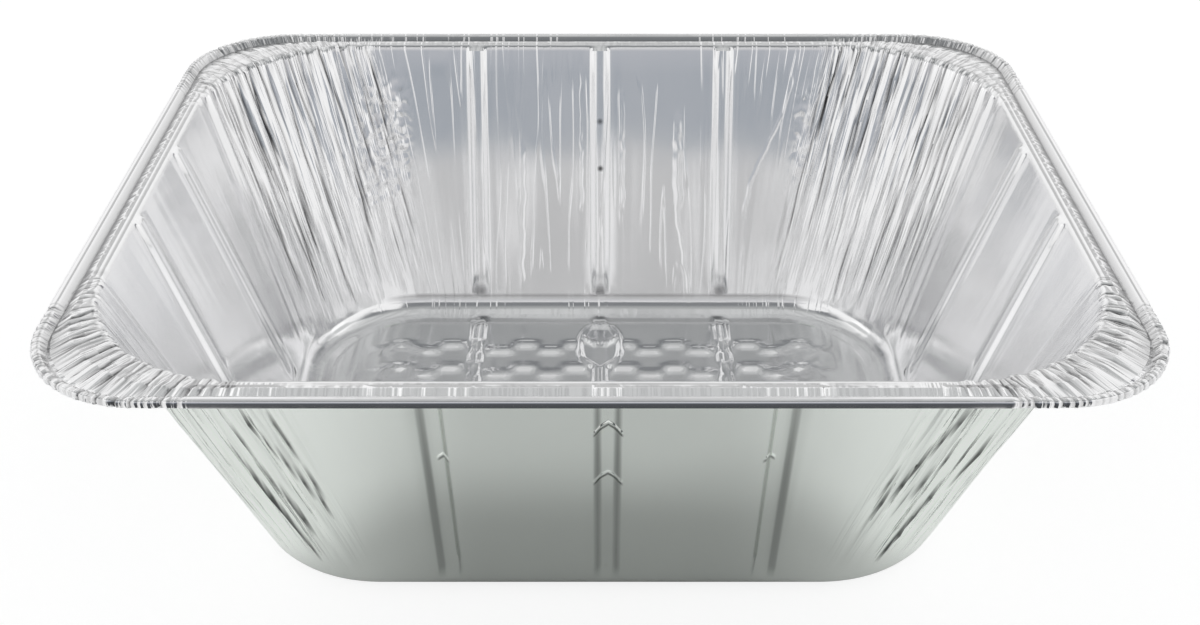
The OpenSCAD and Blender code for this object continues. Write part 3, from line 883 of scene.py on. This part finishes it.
def foil_material(name, colour, settings):
    """Bare aluminium: a metal whose roughness, normals and painted shade come from the foil's marks."""
    material = bpy.data.materials.new(name)
    material.use_nodes = True
    tree = material.node_tree
    shader = tree.nodes["Principled BSDF"]
    shader.inputs["Metallic"].default_value = 1.0
    marks_node = add_node(tree, "Group")
    marks_node.node_tree = foil_marks
    for setting, level in settings.items():
        marks_node.inputs[setting].default_value = level
    bump_node = add_node(tree, "Bump", {"Distance": 0.001, "Strength": 1.0})
    link(tree, marks_node.outputs["Height"], bump_node.inputs["Height"])
    link(tree, bump_node.outputs["Normal"], shader.inputs["Normal"])
    link(tree, marks_node.outputs["Roughness"], shader.inputs["Roughness"])
    # The colour darkens towards this where the marks paint shade or a dark spot
    dark_colour = tuple(0.05 * part for part in colour)
    shaded = blend(tree, marks_node.outputs["Shade"], colour, dark_colour)
    link(tree, shaded, shader.inputs["Base Color"])
    return material


food_side = {"Crease depth": 0.9, "Flank shade": 0.0, "Smoothest": 0.10, "Roughest": 0.18}
outside = {"Crease depth": 0.6, "Flank shade": 0.36, "Smoothest": 0.16, "Roughest": 0.22}
pan_mesh.materials.append(foil_material("foil_bright", (0.91, 0.91, 0.915), food_side))
pan_mesh.materials.append(foil_material("foil_satin", (0.855, 0.89, 0.85), outside))

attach(pan, "root")
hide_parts("foil_pan")


# The stage is a wide pale floor under an open white studio. A grey ceiling and a dim front, where
# the photographer stands, give the metal something to reflect besides white.
floor_reach_out = 6.0
floor_front = -0.175
floor_mesh = bpy.data.meshes.new("studio_floor")
floor_corners = [(-floor_reach_out, floor_front, 0.0), (floor_reach_out, floor_front, 0.0),
                 (floor_reach_out, floor_reach_out, 0.0), (-floor_reach_out, floor_reach_out, 0.0)]
floor_mesh.from_pydata(floor_corners, [], [(0, 1, 2, 3)])
studio_floor = bpy.data.objects.new("studio_floor", floor_mesh)
studio_floor.location.z = -0.0001
bpy.context.scene.collection.objects.link(studio_floor)


def both(tree, first, second):
    """A shader that adds up two."""
    node = add_node(tree, "AddShader")
    link(tree, first.outputs[0], node.inputs[0])
    link(tree, second.outputs[0], node.inputs[1])
    return node


def part_rays(tree, to_others, to_camera, output_kind):
    """Ends a tree with one shader for the camera's own rays and one for all the others."""
    rays = add_node(tree, "LightPath")
    mixed = add_node(tree, "MixShader")
    output = add_node(tree, output_kind)
    link(tree, rays.outputs["Is Camera Ray"], mixed.inputs["Fac"])
    link(tree, to_others.outputs[0], mixed.inputs[1])
    link(tree, to_camera.outputs[0], mixed.inputs[2])
    link(tree, mixed.outputs[0], output.inputs["Surface"])


# Paper: seen by the camera it is white with a faint shadow. In reflections a painted shadow dims it
# near the pan, fading further off, and a painted glow lights it a little to either side.
paper = bpy.data.materials.new("studio_paper")
paper.use_nodes = True
tree = paper.node_tree
tree.nodes.clear()
matt = add_node(tree, "BsdfDiffuse")
faint = add_node(tree, "BsdfDiffuse", {"Color": (*grey(0.30), 1.0)})
glow = add_node(tree, "Emission", {"Strength": 0.80})
side_glow = add_node(tree, "Emission")
x, y = split(tree, add_node(tree, "TexCoord").outputs["Object"])[:2]
past_side = linear(tree, value_node(tree, "ABSOLUTE", x), 1.3, -0.065)
past_end = value_node(tree, "SUBTRACT", value_node(tree, "ABSOLUTE", y), 0.045)
beside = value_node(tree, "MAXIMUM", past_side, 0.0)
before = value_node(tree, "MAXIMUM", past_end, 0.0)
reach = total(tree, product(tree, beside, beside), product(tree, before, before))
reach = product(tree, value_node(tree, "POWER", reach, 0.5), 10.0)
paper_shade = ramp(tree, reach, [(0.30, grey(0.43)), (0.50, grey(0.54)), (0.62, grey(0.56)),
                                 (0.90, grey(0.97))])
link(tree, paper_shade, matt.inputs["Color"])
side_strength = product(tree, mask(tree, past_side, -0.02, 0.09), 0.22)
link(tree, side_strength, side_glow.inputs["Strength"])
part_rays(tree, both(tree, matt, side_glow), both(tree, faint, glow), "OutputMaterial")
floor_mesh.materials.append(paper)

world = bpy.data.worlds.new("studio")
bpy.context.scene.world = world
world.use_nodes = True
tree = world.node_tree
tree.nodes.clear()
to_right, behind, upwards = split(tree, add_node(tree, "TexCoord").outputs["Generated"])
to_front = product(tree, behind, -1.0)
aside = value_node(tree, "ABSOLUTE", to_right)
# Seen from above: the direction's shares to the front, to both sides and to the right
level = value_node(tree, "SQRT", value_node(tree, "SUBTRACT", 1.0001, product(tree, upwards, upwards)))
ahead = value_node(tree, "DIVIDE", to_front, level)
sideways = value_node(tree, "DIVIDE", aside, level)
turned = value_node(tree, "DIVIDE", to_right, level)
# Height: 0 straight down, 0.5 at the horizon and 1 straight up
height = linear(tree, upwards, 0.5, 0.5)
room = ramp(tree, height, [(0.50, grey(0.88)), (0.72, grey(1.0)), (0.88, grey(0.92)),
                           (0.96, (0.64, 0.65, 0.65))])
low_front = ramp(tree, height, [(0.20, (0.07, 0.075, 0.08)), (0.50, (0.10, 0.105, 0.12)),
                                (0.58, (0.36, 0.39, 0.43)), (0.66, (0.43, 0.45, 0.49)),
                                (0.74, (0.60, 0.60, 0.62))])
high_front = ramp(tree, height, [(0.80, (0.20, 0.21, 0.22)), (0.92, (0.22, 0.23, 0.24)),
                                 (0.97, (0.40, 0.41, 0.41))])
far_wall = ramp(tree, height, [(0.66, grey(0.90)), (0.75, grey(0.60)), (0.82, grey(0.62)),
                               (0.88, grey(0.70)), (0.97, (0.64, 0.65, 0.65))])
wall_stripe = value_node(tree, "SINE", product(tree, turned, 50.0))
ceiling_stripe = value_node(tree, "SINE", product(tree, to_right, 45.0))
wide_stripe = value_node(tree, "SINE", linear(tree, turned, 31.0, 1.0))
narrow_stripe = value_node(tree, "SINE", linear(tree, turned, 83.0, 2.0))
front_stripe = total(tree, wide_stripe, narrow_stripe)
over_camera = linear(tree, aside, 0.4, to_front)

# Each patch lies over those before it: colour, strength and the edges of its window
patches = (
    # The grey wall straight behind the pan, with faint stripes, and a striped ceiling
    (far_wall, 1.0, (behind, 0.0, 0.1), (sideways, 0.24, 0.17)),
    ((0.25, 0.25, 0.26), 0.40, (behind, 0.0, 0.1), (sideways, 0.24, 0.18), (wall_stripe, 0.1, 0.8),
     (height, 0.66, 0.72), (height, 0.92, 0.86)),
    ((0.30, 0.30, 0.31), 0.60, (ceiling_stripe, 0.2, 0.7), (height, 0.93, 0.97)),
    # The dim front: where the photographer stands, with soft stripes, and high up over the camera
    (low_front, 1.0, (ahead, 0.88, 0.96), (height, 0.82, 0.77)),
    ((0.62, 0.62, 0.64), 0.40, (ahead, 0.88, 0.96), (height, 0.54, 0.58), (height, 0.82, 0.77),
     (front_stripe, 0.2, 1.6)),
    (high_front, 1.0, (over_camera, 0.20, 0.29), (to_front, 0.79, 0.73), (aside, 0.75, 0.55),
     (height, 0.70, 0.78)),
    # Two soft boxes high up beside the camera, grey panels high up behind, and dark ones low down
    (grey(0.95), 1.0, (aside, 0.24, 0.30), (aside, 0.68, 0.62), (to_front, 0.34, 0.40),
     (to_front, 0.76, 0.72)),
    ((0.42, 0.43, 0.43), 1.0, (aside, 0.60, 0.66), (aside, 0.84, 0.78), (height, 0.76, 0.80),
     (height, 0.91, 0.87), (behind, -0.10, 0.0), (behind, 0.36, 0.28)),
    ((0.20, 0.20, 0.22), 1.0, (behind, 0.0, 0.1), (sideways, 0.70, 0.74), (sideways, 0.86, 0.82),
     (height, 0.44, 0.47), (height, 0.74, 0.68)),
)
surroundings = room
for patch_colour, strength, *edges in patches:
    share = product(tree, window(tree, *edges), strength)
    surroundings = blend(tree, share, surroundings, patch_colour)
# The camera itself sees only white past the floor
room_light = add_node(tree, "Background")
link(tree, surroundings, room_light.inputs["Color"])
backdrop = add_node(tree, "Background", {"Color": (*grey(1.0), 1.0)})
part_rays(tree, room_light, backdrop, "OutputWorld")

# Two square lamps face the pan
for side, name in ((-1.2, "left_soft_box"), (1.2, "right_soft_box")):
    place = (side, 0.3, 1.1)
    lamp_data = bpy.data.lights.new(name, "AREA")
    lamp_data.shape = "SQUARE"
    lamp_data.size = 0.8
    lamp_data.energy = 0.35
    lamp = bpy.data.objects.new(name, lamp_data)
    lamp.location = place
    aim = np.array([0.0, 0.0, 0.05]) - np.array(place)
    yaw = math.atan2(-aim[0], aim[1])
    pitch = math.atan2(math.hypot(aim[0], aim[1]), -aim[2])
    lamp.rotation_euler = (pitch, 0.0, yaw)
    bpy.context.scene.collection.objects.link(lamp)
